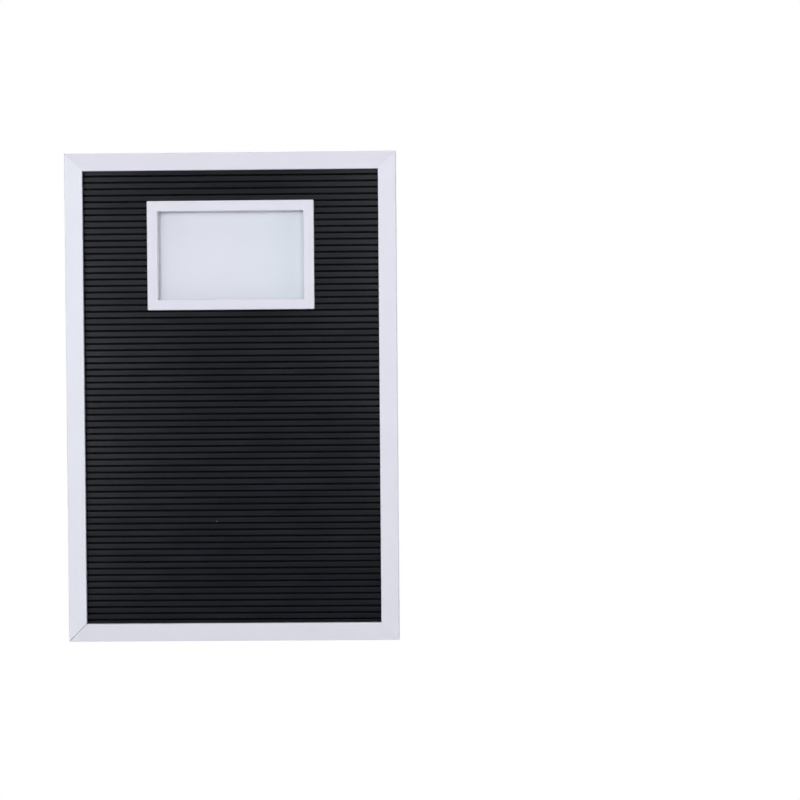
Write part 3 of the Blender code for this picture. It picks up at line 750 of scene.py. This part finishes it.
def pan_head_screw(node, name, material):
    """A pan-head screw in the place and to the size of its node, with a domed head."""
    low, high = (Vector(corner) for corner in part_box(node))
    centre = ((low.x + high.x) / 2, (low.z + high.z) / 2)
    head = (high.x - low.x) / 2
    under = high.y - HEAD_HEIGHT
    profile = [(0.0, low.y), (SCREW_SHANK / 3, low.y), (SCREW_SHANK, low.y + SCREW_SHANK)]
    profile += [(SCREW_SHANK, under), (head * HEAD_UNDERSIDE, under)]
    profile += [(head, under + HEAD_CHAMFER)]
    for angle in range(0, 90, HEAD_STEP_DEG):
        rise = HEAD_DOME * sin(radians(angle))
        profile.append((head * cos(radians(angle)), high.y - HEAD_DOME + rise))
    profile.append((0.0, high.y))
    screw = turned(name, profile, centre, material, HEAD_SEGMENTS)
    sink_cross(screw, centre, high.y, head * RECESS_REACH)
    stand_for(screw, node)


strip_steel = zinc_plated_steel("zinc_plated_strip", STRIP_SCRATCH, STRIP_ROUGHNESS)
wire_steel = zinc_plated_steel("zinc_plated_wire", WIRE_SCRATCH, WIRE_ROUGHNESS)
for node in sorted(frame["nodes"]):
    if node.startswith("turn_button"):
        name = node.replace("turn_button", "swivel")
        dress(node, name, strip_steel, STEEL_CREASE, BUTTON_EASE)
    if node.startswith("button_screw"):
        pan_head_screw(node, node.replace("button_screw", "pan_head"), wire_steel)


# The hanger is a pressed strip with a saw-toothed edge, raised in the middle so that a wall nail
# catches between two teeth. A round-headed nail at each end holds it to the top rail.

HANGER_EASE = 0.1
NAIL_SHANK = 0.7 * MM
NAIL_HEAD_HEIGHT = 0.6 * MM
NAIL_CROWN = 0.25 * MM
CROWN_CURVE = ((1.0, 1.0), (0.8, 0.35), (0.4, 0.05), (0.0, 0.0))


def hanger_nail(node, name, material):
    """A small wire nail with a slightly crowned head."""
    low, high = (Vector(corner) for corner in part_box(node))
    centre = ((low.x + high.x) / 2, (low.z + high.z) / 2)
    head = (high.x - low.x) / 2
    under = high.y - NAIL_HEAD_HEIGHT
    profile = [(0.0, low.y), (NAIL_SHANK, low.y + 2 * NAIL_SHANK), (NAIL_SHANK, under)]
    profile += [(head, under)]
    profile += [(head * out, high.y - NAIL_CROWN * drop) for out, drop in CROWN_CURVE]
    stand_for(turned(name, profile, centre, material, HEAD_SEGMENTS), node)


dress("sawtooth_hanger", "toothed_strip", strip_steel, STEEL_CREASE, HANGER_EASE)
for node in sorted(frame["nodes"]):
    if node.startswith("hanger_nail"):
        hanger_nail(node, node.replace("hanger_nail", "wire_nail"), wire_steel)


# The studio: a pale floor well below the board, a white surround that lights mostly from behind,
# and soft boxes in front, at the sides, behind and overhead. The large one in front is polarised
# and gives no glare. The two glints are only mirrored, and light no matt surface.

FLOOR_DROP = 1.0
FLOOR_RADIUS = 3.1
FLOOR_SEGMENTS = 96
FLOOR_PALE = "F4F4F2"
FLOOR_SHADE = "EEEEEC"
FLOOR_MOTTLE = 30.0
FLOOR_LIFT = 0.32
SURROUND_WHITE = (1.0, 1.0, 1.0, 1.0)
SURROUND_LIGHT = (0.93, 0.95, 1.0, 1.0)
BOX_LIGHT = (0.962, 0.97, 1.0)
FRONT_FILL = 0.03
REAR_FILL = 0.36
REAR_FILL_FROM = 0.3
SIDE_BOX = (0.5, 1.4)
LONG_BOX = (1.4, 0.5)
WIDE_BOX = (3.0, 2.4)
FRONT_BOX = (0.5, 0.9)
NARROW_BOX = (0.25, 0.9)
FILL_BOX = (1.2, 1.2)
SOFT_BOXES = {
    "left_low": (-65, 0, 1.5, SIDE_BOX, 3.6),
    "left_front": (-33, 5, 1.6, FRONT_BOX, 3.9),
    "left_glint": (-33, 5, 1.7, FRONT_BOX, 3.1),
    "right_low": (65, 0, 1.5, SIDE_BOX, 5.2),
    "right_front": (22, 14, 1.7, FRONT_BOX, 3.9),
    "right_glint": (15, 12, 1.7, NARROW_BOX, 1.8),
    "above": (0, 68, 1.5, LONG_BOX, 4.4),
    "above_front": (0, 50, 1.6, LONG_BOX, 0.9),
    "front_fill": (-4, 10, 2.4, FILL_BOX, 18.6),
    "rear_left": (-140, 20, 1.6, SIDE_BOX, 3.8),
    "rear_right": (150, 10, 1.6, SIDE_BOX, 3.4),
    "overhead": (180, 65, 3.0, WIDE_BOX, 80.0),
}
WITHOUT_GLARE = ("front_fill",)
ONLY_GLARE = ("left_glint", "right_glint")
CAMERA_PLACE = (0.17588, -1.55036, -0.19917)
CAMERA_TURN_DEG = (89.1599, 0.4518, 0.7864)
FOCAL_PIXELS = 1667.0
PHOTO_PIXELS = 800.0
SENSOR = 36.0


def painted_floor():
    """Matt pale paint with a soft roller mottle, lifted for the camera as by lamps of its own."""
    material, shader, place = start_finish("matt_pale_floor", {"Roughness": 0.85})
    mottle = noise(material, place, FLOOR_MOTTLE, 3.0)
    colour = mix_colours(material, mottle, linear(FLOOR_SHADE), linear(FLOOR_PALE))
    feed(material, shader, "Base Color", colour)
    seen = add_node(material, "LightPath").outputs["Is Camera Ray"]
    feed(material, shader, "Emission Color", colour)
    feed(material, shader, "Emission Strength", work_out(material, "MULTIPLY", seen, FLOOR_LIFT))
    return material


def lay_floor():
    """A round floor below the board."""
    bm = bmesh.new()
    bmesh.ops.create_circle(bm, cap_ends=True, segments=FLOOR_SEGMENTS, radius=FLOOR_RADIUS)
    mesh = bpy.data.meshes.new("floor")
    bm.to_mesh(mesh)
    bm.free()
    mesh.materials.append(painted_floor())
    floor = bpy.data.objects.new("floor", mesh)
    floor.location = (0.0, 0.0, cad_box[0][2] - FLOOR_DROP)
    bpy.context.collection.objects.link(floor)


def white_surround():
    """White to the camera. The light that it gives comes mostly from behind the board."""
    world = bpy.data.worlds.new("surround")
    bpy.context.scene.world = world
    world.use_nodes = True
    world.node_tree.nodes.clear()
    place = add_node(world, "TexCoord").outputs["Generated"]
    rearward = add_node(world, "SeparateXYZ", None, {0: place}).outputs[1]
    strength = ranged(world, rearward, FRONT_FILL, REAR_FILL, 0.0, REAR_FILL_FROM)
    given = add_node(world, "Background", None, {"Color": SURROUND_LIGHT, "Strength": strength})
    seen = add_node(world, "Background", None, {"Color": SURROUND_WHITE})
    camera_ray = add_node(world, "LightPath").outputs["Is Camera Ray"]
    both = add_node(world, "MixShader", None, {
        0: camera_ray, 1: given.outputs[0], 2: seen.outputs[0],
    })
    add_node(world, "OutputWorld", None, {0: both.outputs[0]})


def soft_box(name, azimuth_deg, height_deg, distance, size, watts):
    """A rectangular light that faces the board, placed by its angles from the board's front."""
    middle = Vector((0.0, 0.0, (cad_box[0][2] + cad_box[1][2]) / 2))
    azimuth = radians(azimuth_deg)
    height = radians(height_deg)
    away = Vector((sin(azimuth) * cos(height), -cos(azimuth) * cos(height), sin(height)))
    light = bpy.data.lights.new(name, "AREA")
    light.shape = "RECTANGLE"
    light.size, light.size_y = size
    light.energy = watts
    light.color = BOX_LIGHT
    box = bpy.data.objects.new(name, light)
    box.location = middle + distance * away
    box.rotation_euler = (-away).to_track_quat("-Z", "Y").to_euler()
    box.visible_glossy = name not in WITHOUT_GLARE
    box.visible_diffuse = name not in ONLY_GLARE
    bpy.context.collection.objects.link(box)


def photo_camera():
    """The camera where the photograph's was, at its angle of view."""
    lens = bpy.data.cameras.new("camera")
    lens.sensor_fit = "HORIZONTAL"
    lens.sensor_width = SENSOR
    lens.lens = SENSOR * FOCAL_PIXELS / PHOTO_PIXELS
    camera = bpy.data.objects.new("camera", lens)
    camera.location = CAMERA_PLACE
    camera.rotation_euler = [radians(angle) for angle in CAMERA_TURN_DEG]
    bpy.context.collection.objects.link(camera)
    bpy.context.scene.camera = camera


lay_floor()
white_surround()
for name, (azimuth, height, distance, size, watts) in SOFT_BOXES.items():
    soft_box(name, azimuth, height, distance, size, watts)
photo_camera()
bpy.context.scene.view_settings.view_transform = "Standard"
bpy.context.scene.view_settings.look = "None"
